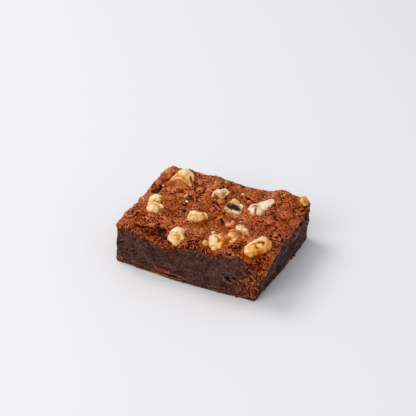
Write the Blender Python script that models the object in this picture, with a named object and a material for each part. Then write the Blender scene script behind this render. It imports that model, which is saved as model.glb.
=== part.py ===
# Walnut brownie: one square-cut slab of fudgy cake with the walnut pieces that are baked into its top.
# The slab is cut on all four sides and lies flat. Its top swells and sinks, and each walnut piece sits in
# a pocket of its own shape in the cake.
# Origin: the middle of the slab's box, on the surface it lies on. +X runs along the long side, +Z is up.
# Every length below is in millimetres and is turned into metres by MM.

import math

import bmesh
import bpy
from mathutils import Vector, noise

MM = 0.001

# Slab
LENGTH = 80.8               # left to right, over the crust
WIDTH = 64.8                # front to back, over the bulge of the front cut
LEVEL = 22.7                # usual height of the top
FRONT_BULGE = 2.2           # how far the front cut swells out at the foot, halfway along
TOP_BULGE = 0.9             # the same at the crust
BACK_BULGE = 0.8
UNDERCUT = 4.5              # how far the foot of the front right corner is set in below the crust
EDGE_RADIUS = 1.9           # rounding where top and cuts meet
FOOT_RADIUS = 0.9           # rounding where the cuts meet the base
SIDE_FADE = 3               # how fast the bulges and the undercut die away from their side
CORNER_FADE = 1.6           # how fast the undercut dies away from the front right corner
CUT_FADE = 8                # how fast the unevenness of the cuts dies away inside the top
CUT_WAVE = 0.35             # unevenness of the knife cuts
CUT_WAVELENGTH = 11.0
CUT_OFFSET = 40             # reads the waves of one pair of cuts from another part of the noise
TOP_WAVES = [(7.0, 0.90, 3.0), (3.6, 0.45, 9.0)]    # wavelength, height and place in the noise

# Facets along, across and up the slab. Rows crowd towards the edges, where the rounding is.
COLUMNS = 28
ROWS = 22
LAYERS = 4
CROWDING = 0.74             # 0 spaces the rows evenly, 1 crowds them most
TINY = 1e-6                 # what is smaller than this counts as nothing

# Swells and hollows of the top: x, y, reach along X, reach along Y, height
SWELLS = {
    "left shoulder": (-23.5, -3.0, 6.5, 9.5, 1.5),
    "left front shoulder": (-33.0, -20.0, 8.0, 9.0, 0.5),
    "left gully": (-15.0, -4.0, 2.6, 9.0, -1.7),
    "gully head": (-19.5, 9.5, 3.0, 3.5, -1.1),
    "left back knob": (-36.5, 10.5, 2.6, 3.6, 1.0),
    "knob hollow": (-34.6, 4.6, 2.0, 2.6, -1.5),
    "back left slope": (-30.0, 28.0, 10.0, 5.0, -0.4),
    "middle back swell": (-8.0, 24.0, 8.5, 8.5, 1.7),
    "blister": (-15.5, 8.5, 3.0, 4.5, 0.9),
    "front slope": (-22.0, -31.5, 11.0, 6.5, -2.2),
    "front notch": (-9.5, -31.5, 6.0, 7.0, -4.6),
    "front shoulder": (2.0, -24.0, 6.0, 8.0, 1.6),
    "crater": (6.0, 5.5, 8.5, 8.0, -1.6),
    "crater lip": (15.5, 12.0, 3.5, 7.0, 0.9),
    "front bay": (13.0, -27.0, 4.0, 6.5, -1.5),
    "front right ridge": (22.5, -27.0, 6.0, 9.0, 3.2),
    "ridge tail": (27.0, -9.0, 6.0, 8.0, 1.6),
    "right swell": (31.5, 13.0, 8.0, 11.0, 2.4),
    "back right swell": (26.5, 29.0, 8.0, 8.0, 2.6),
    "right edge fall": (42.0, 17.0, 5.0, 14.0, -3.0),
    "front right corner fall": (42.5, -33.0, 6.5, 7.5, -4.2),
}

# Walnut pieces. at: x, y and how far the middle stands above the cake there. size: half length, half width
# and half thickness of the main body. turn: heading of its length, then its tilt along and across.
# lobes: ball centres along, across and up the piece, and their radius. detail: 2 for a crumb, 3 for a piece.
CLEARANCE = 0.36            # gap between a walnut piece and the cake around it
FURROWS = 2.1               # how close the furrows of a walnut lie
FURROW_SHARE = 2.6          # how deep they go, next to its wrinkle
WALNUTS = {
    "walnut_back_left": {
        "at": (-27.5, 18.4, -0.1), "size": (5.4, 5.0, 2.9), "turn": (14, 0, 6), "wrinkle": 0.10, "detail": 3,
        "lobes": [(0.4, 4.8, 0.5, 3.7), (3.8, 4.0, 0.0, 3.0), (-4.6, -4.0, -0.2, 2.7), (-0.4, -4.6, 0.3, 2.9),
                  (3.8, -3.6, 0.0, 2.6)]},
    "walnut_corner": {
        "at": (-36.6, 21.6, -0.6), "size": (2.8, 5.2, 2.4), "turn": (6, 0, 0), "wrinkle": 0.10, "detail": 3,
        "lobes": [(0.6, 2.8, 0.4, 2.2), (-0.4, -2.6, 0.2, 2.2)]},
    "walnut_left": {
        "at": (-29.6, -8.4, -0.1), "size": (3.2, 4.6, 2.3), "turn": (24, 0, 0), "wrinkle": 0.07, "detail": 3,
        "lobes": [(1.0, 4.2, 0.3, 3.8), (-0.6, -3.8, 0.3, 3.5), (3.4, -1.6, -0.2, 2.0)]},
    "walnut_mid_left": {
        "at": (-5.4, -9.2, -0.1), "size": (4.1, 3.1, 2.3), "turn": (24, 0, 0), "wrinkle": 0.09, "detail": 3,
        "lobes": [(-1.6, 0.4, 0.2, 3.0), (2.2, 0.4, 0.1, 2.6)]},
    "walnut_front_left": {
        "at": (-7.8, -26.2, 1.9), "size": (4.0, 3.6, 4.0), "turn": (18, 0, -24), "wrinkle": 0.08, "detail": 3,
        "lobes": [(-0.4, 1.4, 1.6, 3.5), (0.6, -0.8, -2.2, 2.6), (-1.8, 0.2, -0.6, 2.6)]},
    "walnut_fragment": {
        "at": (7.0, -26.8, 0.2), "size": (1.6, 2.1, 1.5), "turn": (10, 0, 0), "wrinkle": 0.10, "detail": 2,
        "lobes": []},
    "walnut_front_centre": {
        "at": (15.0, -21.0, 0.1), "size": (5.2, 6.8, 3.1), "turn": (-10, 0, -4), "wrinkle": 0.10, "detail": 3,
        "lobes": [(-2.6, -3.2, 0.8, 3.7), (-0.6, -7.2, -0.9, 2.4), (1.8, 3.6, 0.7, 4.0), (-0.4, 7.2, 0.2, 3.0),
                  (4.0, 7.2, -0.2, 2.6), (3.4, -1.4, 0.0, 2.8)]},
    "walnut_strip": {
        "at": (19.2, -8.2, -0.5), "size": (5.6, 2.2, 1.9), "turn": (-38, 0, 0), "wrinkle": 0.09, "detail": 3,
        "lobes": [(2.8, 0.2, 0.0, 2.2)]},
    "walnut_front_right": {
        "at": (31.5, -19.8, 0.7), "size": (8.7, 4.1, 3.1), "turn": (67, 0, 0), "wrinkle": 0.05, "detail": 3,
        "lobes": [(3.8, 0.0, 0.3, 4.2), (-3.6, 0.0, 0.0, 3.5)]},
    "walnut_upper_middle": {
        "at": (-3.2, 16.4, -0.5), "size": (4.6, 2.6, 2.2), "turn": (66, 0, 0), "wrinkle": 0.10, "detail": 3,
        "lobes": [(-1.8, 0.6, 0.1, 2.7), (2.2, -0.2, 0.0, 2.3)]},
    "walnut_dark_skin": {
        "at": (7.4, 8.8, -0.1), "size": (4.4, 3.9, 2.4), "turn": (20, 0, 0), "wrinkle": 0.10, "detail": 3,
        "lobes": [(-0.6, 3.6, 0.7, 2.6), (3.4, 1.2, 0.2, 2.3), (-3.0, -0.6, 0.2, 2.3), (2.0, -3.6, -0.4, 2.0)]},
    "walnut_right_middle": {
        "at": (21.4, 15.6, -0.5), "size": (10.0, 3.1, 2.4), "turn": (68, 0, 0), "wrinkle": 0.05, "detail": 3,
        "lobes": [(-5.4, 0.6, 0.1, 3.7), (-3.6, 2.0, -0.2, 3.2), (4.6, -0.2, 0.1, 2.6)]},
    "walnut_back_right": {
        "at": (37.7, 28.4, 1.6), "size": (2.3, 3.0, 2.1), "turn": (20, 0, 0), "wrinkle": 0.08, "detail": 2,
        "lobes": []},
    "walnut_curl": {
        "at": (9.2, -4.6, -0.3), "size": (4.9, 2.8, 2.1), "turn": (0, 0, 0), "wrinkle": 0.12, "detail": 3,
        "lobes": [(2.6, -0.8, 0.2, 2.3), (-3.0, 0.6, 0.2, 2.2)]},
}

CAKE_COLOUR = (0.115, 0.040, 0.018, 1.0)
CAKE_ROUGHNESS = 0.7
WALNUT_COLOUR = (0.72, 0.48, 0.24, 1.0)
WALNUT_ROUGHNESS = 0.5


def clear_scene():
    for thing in list(bpy.data.objects):
        bpy.data.objects.remove(thing)


def collection(name):
    made = bpy.data.collections.new(name)
    bpy.context.scene.collection.children.link(made)
    return made


def material(name, colour, roughness):
    made = bpy.data.materials.new(name)
    made.use_nodes = True
    shader = made.node_tree.nodes["Principled BSDF"]
    shader.inputs["Base Color"].default_value = colour
    shader.inputs["Roughness"].default_value = roughness
    shader.inputs["Metallic"].default_value = 0.0
    return made


def add_object(name, bm, owner, surface):
    mesh = bpy.data.meshes.new(name)
    bm.to_mesh(mesh)
    bm.free()
    mesh.materials.append(surface)
    made = bpy.data.objects.new(name, mesh)
    owner.objects.link(made)
    return made


def wave(x, y, z, length, size):
    """Smooth unevenness of that wavelength, from about -size to size."""
    return size * noise.noise(Vector((x, y, z)) / length)


def top_height(x, y):
    """Height of the slab's top above its base, at x, y."""
    height = LEVEL
    for middle_x, middle_y, reach_x, reach_y, rise in SWELLS.values():
        height += rise * math.exp(-((x - middle_x) / reach_x) ** 2 - ((y - middle_y) / reach_y) ** 2)
    return height + sum(wave(x, y, place, length, size) for length, size, place in TOP_WAVES)


def crowd(t):
    """Moves an even position between -1 and 1 towards the nearer end."""
    quarter = CROWDING * math.pi / 2
    return math.sin(t * quarter) / math.sin(quarter)


def rounded(point, half, radius):
    """Moves a point on the skin of a box with those half sizes onto the same box with round edges."""
    inner = Vector([max(radius - h, min(h - radius, p)) for p, h in zip(point, half)])
    outward = point - inner
    return inner + outward.normalized() * radius if outward.length > 0 else point


def slab_point(u, v, w):
    """Place on the slab's skin, for a point on the skin of a cube from -1 to 1."""
    half = Vector((LENGTH / 2, WIDTH / 2 - FRONT_BULGE / 2, LEVEL / 2))
    square = Vector((u * half.x, v * half.y, w * half.z))
    point = rounded(square, half, EDGE_RADIUS if w > 0 else FOOT_RADIUS)
    share = (point.z + half.z) / LEVEL                      # 0 at the base, 1 at the top
    x = point.x
    y = point.y + FRONT_BULGE / 2
    z = share * top_height(x, y)
    foot = 1 - share
    to_right = max(0.0, u) ** SIDE_FADE
    to_front = max(0.0, -v) ** SIDE_FADE
    to_back = max(0.0, v) ** SIDE_FADE
    x -= UNDERCUT * foot * to_right * ((1 - v) / 2) ** CORNER_FADE
    y -= (TOP_BULGE + (FRONT_BULGE - TOP_BULGE) * foot) * (1 - u * u) * to_front
    y -= BACK_BULGE * foot * u * u * to_back
    side = max(abs(u), abs(v)) ** CUT_FADE                  # 1 on the cuts, almost 0 inside the top
    x += side * u * wave(x, y, z, CUT_WAVELENGTH, CUT_WAVE)
    y += side * v * wave(x, y, z + CUT_OFFSET, CUT_WAVELENGTH, CUT_WAVE)
    return Vector((x, y, z)) * MM


def cut_along(bm, axis, pieces):
    """Splits every edge that runs along an axis, with all the faces between them, into pieces."""
    along = [e for e in bm.edges if abs((e.verts[0].co - e.verts[1].co)[axis]) > TINY]
    bmesh.ops.subdivide_edges(bm, edges=along, cuts=pieces - 1, use_grid_fill=True)


def centre_footprint(bm):
    """The waves of the cuts leave the slab a little to one side, so it is moved back over the origin."""
    across = [v.co.x for v in bm.verts]
    deep = [v.co.y for v in bm.verts]
    middle = Vector((min(across) + max(across), min(deep) + max(deep), 0)) / 2
    bmesh.ops.translate(bm, verts=bm.verts, vec=-middle)


def make_slab():
    bm = bmesh.new()
    bmesh.ops.create_cube(bm, size=2)
    for axis, pieces in enumerate((COLUMNS, ROWS, LAYERS)):
        cut_along(bm, axis, pieces)
    base = [f for f in bm.faces if f.normal.z < -0.5]
    for vert in bm.verts:
        u, v, w = vert.co
        vert.co = slab_point(crowd(u), crowd(v), crowd(w))
    centre_footprint(bm)
    base = [f for f in base if max(v.co.z for v in f.verts) < TINY]
    bmesh.ops.dissolve_faces(bm, faces=base, use_verts=True)
    bmesh.ops.recalc_face_normals(bm, faces=bm.faces)
    return bm


def lobe_reach(direction, middle, radius):
    """How far a ball reaches along a direction from the piece's middle, or 0 where it is missed."""
    along = direction.dot(middle)
    inside = along * along - middle.length_squared + radius * radius
    return along + math.sqrt(inside) if inside > 0 else 0.0


def make_walnut(size, wrinkle, detail, lobes, seed, growth):
    """A wrinkled walnut piece around its own middle, swollen by growth."""
    bm = bmesh.new()
    bmesh.ops.create_icosphere(bm, subdivisions=detail, radius=1)
    for vert in bm.verts:
        body = Vector([c * s for c, s in zip(vert.co, size)])
        direction = body.normalized()
        reach = max([body.length] + [lobe_reach(direction, Vector(l[:3]), l[3]) for l in lobes])
        furrow = abs(noise.noise(direction * FURROWS + Vector((seed, 0, 0))))
        reach *= 1 + wrinkle * (1 - FURROW_SHARE * furrow)
        vert.co = direction * reach
    bm.normal_update()
    for vert in bm.verts:
        vert.co = (vert.co + vert.normal * growth) * MM
    return bm


def place(piece, at, turn):
    x, y, lift = at
    heading, pitch, roll = (math.radians(a) for a in turn)
    piece.location = Vector((x, y, top_height(x, y) + lift)) * MM
    piece.rotation_euler = (roll, pitch, heading)


def cut(target, cutter):
    pocket = target.modifiers.new("pocket for " + cutter.name, "BOOLEAN")
    pocket.operation = "DIFFERENCE"
    pocket.solver = "EXACT"
    pocket.object = cutter


def build():
    clear_scene()
    brownie = collection("walnut_brownie")
    cutters = collection("cutters")
    cake_surface = material("brownie", CAKE_COLOUR, CAKE_ROUGHNESS)
    cake = add_object("cake", make_slab(), brownie, cake_surface)
    for seed, (name, w) in enumerate(WALNUTS.items()):
        shape = (w["size"], w["wrinkle"], w["detail"], w["lobes"], seed)
        walnut_surface = material(name, WALNUT_COLOUR, WALNUT_ROUGHNESS)
        walnut = add_object(name, make_walnut(*shape, growth=0), brownie, walnut_surface)
        cutter = add_object(name + "_pocket", make_walnut(*shape, growth=CLEARANCE), cutters, cake_surface)
        cutter.hide_render = True
        cutter.display_type = "WIRE"
        for piece in (walnut, cutter):
            place(piece, w["at"], w["turn"])
        cut(cake, cutter)


build()
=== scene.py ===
import math

import bmesh
import bpy
import numpy as np
from mathutils import Matrix, Vector, noise
from mathutils.bvhtree import BVHTree
from mathutils.kdtree import KDTree


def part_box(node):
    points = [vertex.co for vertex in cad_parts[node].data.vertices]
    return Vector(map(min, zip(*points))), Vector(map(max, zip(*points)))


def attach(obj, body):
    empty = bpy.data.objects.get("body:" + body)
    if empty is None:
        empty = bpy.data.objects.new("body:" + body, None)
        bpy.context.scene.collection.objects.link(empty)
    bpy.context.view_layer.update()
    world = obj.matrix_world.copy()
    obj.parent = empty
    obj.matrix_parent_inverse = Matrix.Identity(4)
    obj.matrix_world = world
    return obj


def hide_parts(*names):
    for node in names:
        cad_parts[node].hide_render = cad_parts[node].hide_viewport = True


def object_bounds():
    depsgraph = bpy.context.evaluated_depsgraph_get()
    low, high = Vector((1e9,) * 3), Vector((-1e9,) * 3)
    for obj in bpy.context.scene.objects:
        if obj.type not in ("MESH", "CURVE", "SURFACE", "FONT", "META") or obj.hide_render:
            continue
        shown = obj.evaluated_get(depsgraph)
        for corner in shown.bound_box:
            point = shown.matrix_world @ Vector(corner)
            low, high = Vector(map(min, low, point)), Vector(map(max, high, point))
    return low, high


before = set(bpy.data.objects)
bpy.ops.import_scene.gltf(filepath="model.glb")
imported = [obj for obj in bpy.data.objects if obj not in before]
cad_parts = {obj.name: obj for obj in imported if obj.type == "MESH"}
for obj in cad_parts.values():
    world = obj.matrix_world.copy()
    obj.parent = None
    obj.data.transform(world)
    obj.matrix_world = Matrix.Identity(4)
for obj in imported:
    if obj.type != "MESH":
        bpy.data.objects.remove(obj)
cadLow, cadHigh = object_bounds()

# A walnut brownie: a crust wrapped over a dark crumb, with fourteen pieces of walnut baked in.
# Every size and place in the dictionaries is in millimetres; mm turns it into metres.
mm = 0.001
farOff = 60                 # a place well outside the brownie
wavesShift, stirShift, cellsShift = 17.3, 9.1, 13.7    # how far apart in the noise two seeds lie
random = np.random.default_rng(11)
noise.seed_set(11)          # without a seed, noise_vector differs from run to run

block = {
    "halfX": (cadHigh.x - cadLow.x) / 2 / mm,
    "halfY": (cadHigh.y - cadLow.y) / 2 / mm,
    "level": 22.7,            # usual height of the top
    "edgeRadius": 1.9,        # rounding between top and cuts
    "footRadius": 1.5,        # rounding between cuts and base
    "across": 300,            # mesh cells along X and Y, about 0.27 mm each
    "deep": 240,
    "readStep": 0.6,          # spacing of the height readings on the CAD cake
    "readLow": 4.0,           # heights at which the cuts are read
    "readHigh": 14.0,
    "readMargin": 5.5,        # the corners are left out, as one is set in at its foot
    "fillTurns": 700,         # rounds of averaging that fill in the pockets
    "easeTurns": 4,           # rounds that smooth the whole top afterwards
}


def smooth(t):
    t = np.clip(t, 0, 1)
    return t * t * (3 - 2 * t)


def mix(a, b, share):
    return a + (b - a) * share


def bump(distance):           # 1 in the middle, 0 from distance 1 on
    return smooth(1 - distance)


def waves(points, length, seed=0):       # smooth unevenness of that wavelength, about -1 to 1
    return np.array([noise.noise(p) for p in (points / length + seed * wavesShift).tolist()])


def stir(points, length, reach, seed=0):  # the points, each pushed about by up to reach
    pushes = [noise.noise_vector(p) for p in (points / length + seed * stirShift).tolist()]
    return points + reach * np.array(pushes)


def cells(points, size, seed=0):         # grains of that size: dome, gap to the next one, a value of its own
    found = [noise.voronoi(p) for p in (points / size + seed * cellsShift).tolist()]
    near = np.array([f[0][0] for f in found])
    gap = np.array([f[0][1] for f in found]) - near
    middles = np.array([f[1][0] for f in found])
    own = np.modf(np.abs(np.sin(middles @ np.array([12.9, 78.2, 37.7])) * 437.5))[0]
    return 1 - near * near / 0.45, gap, own


def treeOf(node):
    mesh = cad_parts[node].data
    corners = [v.co / mm for v in mesh.vertices]
    return BVHTree.FromPolygons(corners, [list(p.vertices) for p in mesh.polygons])


cakeTree = treeOf("cake")
walnutNames = sorted(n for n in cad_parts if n.startswith("walnut"))
walnutTrees = {n: treeOf(n) for n in walnutNames}
walnutBoxes = {n: tuple(np.array(corner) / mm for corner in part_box(n)) for n in walnutNames}
down = Vector((0, 0, -1))
print("frame read:", len(walnutNames), "walnut pieces and the cake")


def rayDown(tree, x, y):
    hit = tree.ray_cast(Vector((x, y, farOff)), down)[0]
    return hit.z if hit else math.nan


def readCut(side):            # how far out a cut lies along its length, at two heights
    half = block["halfX"] if side in ("front", "back") else block["halfY"]
    stations = np.arange(block["readMargin"] - half, half - block["readMargin"], 1.0)
    outside = {"front": (0, -farOff), "back": (0, farOff), "left": (-farOff, 0), "right": (farOff, 0)}[side]
    inward = Vector((-outside[0], -outside[1], 0)).normalized()
    found = []
    for height in (block["readLow"], block["readHigh"]):
        places = []
        for along in stations:
            start = Vector((outside[0] or along, outside[1] or along, height))
            hit = cakeTree.ray_cast(start, inward)[0]
            places.append(hit.y if side in ("front", "back") else hit.x)
        found.append(np.array(places))
    return stations, found[0], found[1]


cuts = {side: readCut(side) for side in ("front", "back", "left", "right")}


def cutPlace(side, along, height):
    stations, low, high = cuts[side]
    share = (height - block["readLow"]) / (block["readHigh"] - block["readLow"])
    return mix(np.interp(along, stations, low), np.interp(along, stations, high), share)


def readTop():                # heights of the cake's top, with the pockets filled in and the edges unrounded
    step, radius = block["readStep"], block["edgeRadius"]
    xs = np.arange(-block["halfX"] - 1, block["halfX"] + 1 + step, step)
    ys = np.arange(-block["halfY"] - 1, block["halfY"] + 1 + step, step)
    heights = np.array([[rayDown(cakeTree, x, y) for x in xs] for y in ys])
    x, y = np.meshgrid(xs, ys)
    high = np.full(x.shape, block["level"] - radius)
    inX = np.minimum(x - cutPlace("left", y, high), cutPlace("right", y, high) - x)
    inY = np.minimum(y - cutPlace("front", x, high), cutPlace("back", x, high) - y)
    inward = np.clip(np.minimum(inX, inY), 0, radius)
    heights += radius - np.sqrt(radius ** 2 - (radius - inward) ** 2)
    known = (inward > 0.5) & (np.maximum(inX, inY) > radius) & ~np.isnan(heights)
    for name in walnutNames:
        low, high = walnutBoxes[name]
        for row in np.nonzero((ys > low[1] - 1) & (ys < high[1] + 1))[0]:
            for column in np.nonzero((xs > low[0] - 1) & (xs < high[0] + 1))[0]:
                for aside, ahead in ((0, 0), (0.5, 0), (-0.5, 0), (0, 0.5), (0, -0.5)):
                    if not math.isnan(rayDown(walnutTrees[name], xs[column] + aside, ys[row] + ahead)):
                        known[row, column] = False
    filled = np.where(known, heights, block["level"])
    for turn in range(block["fillTurns"]):
        wide = np.pad(filled, 1, mode="edge")
        average = (wide[2:, 1:-1] + wide[:-2, 1:-1] + wide[1:-1, 2:] + wide[1:-1, :-2]) / 4
        filled = np.where(known, filled, average)
    for turn in range(block["easeTurns"]):
        wide = np.pad(filled, 1, mode="edge")
        filled = (wide[2:, 1:-1] + wide[:-2, 1:-1] + wide[1:-1, 2:] + wide[1:-1, :-2] + 2 * filled) / 6
    return xs, ys, filled


topX, topY, topZ = readTop()


def topHeight(x, y):
    across = np.clip((x - topX[0]) / block["readStep"], 0, len(topX) - 1.001)
    deep = np.clip((y - topY[0]) / block["readStep"], 0, len(topY) - 1.001)
    i, j = across.astype(int), deep.astype(int)
    s, t = across - i, deep - j
    near = mix(topZ[j, i], topZ[j, i + 1], s)
    return mix(near, mix(topZ[j + 1, i], topZ[j + 1, i + 1], s), t)


def skin(flat):               # points on a sharp block, moved onto the brownie's rounded, bulging skin
    half = np.array([block["halfX"], block["halfY"], block["level"] / 2])
    centred = flat - np.array([0, 0, half[2]])
    upper = smooth(flat[:, 2:] / block["level"] * 2 - 0.5)
    radius = mix(block["footRadius"], block["edgeRadius"], upper)
    inner = np.clip(centred, radius - half, half - radius)
    outward = centred - inner
    outward /= np.maximum(np.linalg.norm(outward, axis=1, keepdims=True), 1e-9)
    point = inner + outward * radius + np.array([0, 0, half[2]])
    x, y, z = point.T
    left, right = cutPlace("left", y, z), cutPlace("right", y, z)
    front, back = cutPlace("front", x, z), cutPlace("back", x, z)
    newX = mix(left, right, (x / half[0] + 1) / 2)
    newY = mix(front, back, (y / half[1] + 1) / 2)
    return np.stack([newX, newY, z / block["level"] * topHeight(newX, newY)], 1)


def gridPoints(columns, rows, height):   # a flat grid over the whole block
    across = np.linspace(-block["halfX"], block["halfX"], columns + 1)
    deep = np.linspace(-block["halfY"], block["halfY"], rows + 1)
    x, y = np.meshgrid(across, deep)
    return np.stack([x.ravel(), y.ravel(), np.full(x.size, float(height))], 1)


def gridFaces(columns, rows, start):
    first = start + (np.arange(rows)[:, None] * (columns + 1) + np.arange(columns)).ravel()
    return np.stack([first, first + 1, first + columns + 2, first + columns + 1], 1)


def gridRim(columns, rows, start=0):     # the grid's outline, anticlockwise from its front left corner
    index = start + np.arange((columns + 1) * (rows + 1)).reshape(rows + 1, columns + 1)
    return np.concatenate([index[0, :-1], index[:-1, -1], index[-1, :0:-1], index[:0:-1, 0]])


def bandFaces(upper, lower):
    return np.stack([upper, lower, np.roll(lower, -1), np.roll(upper, -1)], 1)


def seamFaces(fine, coarse):             # joins a fine outline to one with a share of its points
    ratio = len(fine) // len(coarse)
    half = ratio // 2
    made = []
    for j, (c0, c1) in enumerate(zip(coarse, np.roll(coarse, -1))):
        f = [fine[(j * ratio + k) % len(fine)] for k in range(ratio + 1)]
        made += [(f[k], c0, f[k + 1]) for k in range(half)]
        made.append((f[half], c0, c1))
        made += [(f[k], c1, f[k + 1]) for k in range(half, ratio)]
    return np.array(made)


def normalsOf(points, quads):
    across = points[quads[:, 2]] - points[quads[:, 0]]
    over = points[quads[:, 3]] - points[quads[:, 1]]
    facing = np.cross(across, over)
    total = np.zeros_like(points)
    for corner in range(4):
        for axis in range(3):
            total[:, axis] += np.bincount(quads[:, corner], facing[:, axis], len(points))
    return total / np.maximum(np.linalg.norm(total, axis=1, keepdims=True), 1e-12)


def blur(values, quads, times):          # each point takes the average of its neighbours, again and again
    a = np.concatenate([quads[:, k] for k in range(4)])
    b = np.concatenate([quads[:, (k + 1) % 4] for k in range(4)])
    count = np.bincount(a, minlength=len(values)) + np.bincount(b, minlength=len(values))
    for turn in range(times):
        total = np.bincount(a, values[b], len(values)) + np.bincount(b, values[a], len(values))
        values = (values + total) / (count + 1)
    return values


def makePiece(name, points, faces, marks, surface):
    mesh = bpy.data.meshes.new(name)
    mesh.from_pydata((points * mm).tolist(), [], [f for group in faces for f in group.tolist()])
    for mark, values in marks.items():
        layer = mesh.attributes.new(mark, "FLOAT", "POINT")
        layer.data.foreach_set("value", np.asarray(values, np.float32))
    mesh.materials.append(surface)
    mesh.shade_smooth()
    piece = bpy.data.objects.new(name, mesh)
    bpy.context.scene.collection.objects.link(piece)
    return piece


def linear(code):                        # sRGB hex to linear
    parts = [int(code[k:k + 2], 16) / 255 for k in (1, 3, 5)]
    return [p / 12.92 if p <= 0.04045 else ((p + 0.055) / 1.055) ** 2.4 for p in parts] + [1.0]


def addNode(tree, kind, values={}, links={}, **settings):
    made = tree.nodes.new("ShaderNode" + kind)
    for name, value in settings.items():
        setattr(made, name, value)
    for name, value in values.items():
        made.inputs[name].default_value = value
    for name, source in links.items():
        tree.links.new(source, made.inputs[name])
    return made


def nodeMarks(tree, *names):                             # the values that the mesh carries at its points
    return [addNode(tree, "Attribute", attribute_name=n).outputs["Fac"] for n in names]


def nodeNoise(tree, place, size, detail, roughness):     # fine grain, its size in millimetres
    values = {"Scale": 1 / (size * mm), "Detail": detail, "Roughness": roughness}
    return addNode(tree, "TexNoise", values, {"Vector": place}).outputs["Fac"]


def nodeRange(tree, source, before, after, clamp=True):  # stretches one range of values to another
    values = {"From Min": before[0], "From Max": before[1], "To Min": after[0], "To Max": after[1]}
    return addNode(tree, "MapRange", values, {"Value": source}, clamp=clamp).outputs[0]


def nodeMath(tree, operation, first, second, **settings):
    return addNode(tree, "Math", {}, {0: first, 1: second}, operation=operation, **settings).outputs[0]


def nodeTimes(tree, source, factor):
    return addNode(tree, "Math", {1: factor}, {0: source}, operation="MULTIPLY").outputs[0]


def nodeRamp(tree, share, stops):                        # runs through the colours of the stops
    made = addNode(tree, "ValToRGB", {}, {"Fac": share})
    ramp = made.color_ramp.elements
    while len(ramp) < len(stops):
        ramp.new(1.0)
    for element, (place, code) in zip(ramp, stops):
        element.position = place
        element.color = linear(code)
    return made.outputs["Color"]


def nodeTint(tree, share, base, colour):                 # lays a colour over another one
    return addNode(tree, "Mix", {7: linear(colour)}, {0: share, 6: base}, data_type="RGBA").outputs[2]


def nodeBump(tree, height, strength, distance):          # relief too fine for the mesh
    values = {"Strength": strength, "Distance": distance * mm}
    return addNode(tree, "Bump", values, {"Height": height}).outputs[0]


def newMaterial(name):
    made = bpy.data.materials.new(name)
    made.use_nodes = True
    return made, made.node_tree, made.node_tree.nodes["Principled BSDF"]


def finishShader(tree, shader, refraction, colour, roughness, glint, normal):
    wanted = {"Base Color": colour, "Roughness": roughness, "Specular IOR Level": glint, "Normal": normal}
    for name, source in wanted.items():
        tree.links.new(source, shader.inputs[name])
    shader.inputs["IOR"].default_value = refraction


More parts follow.
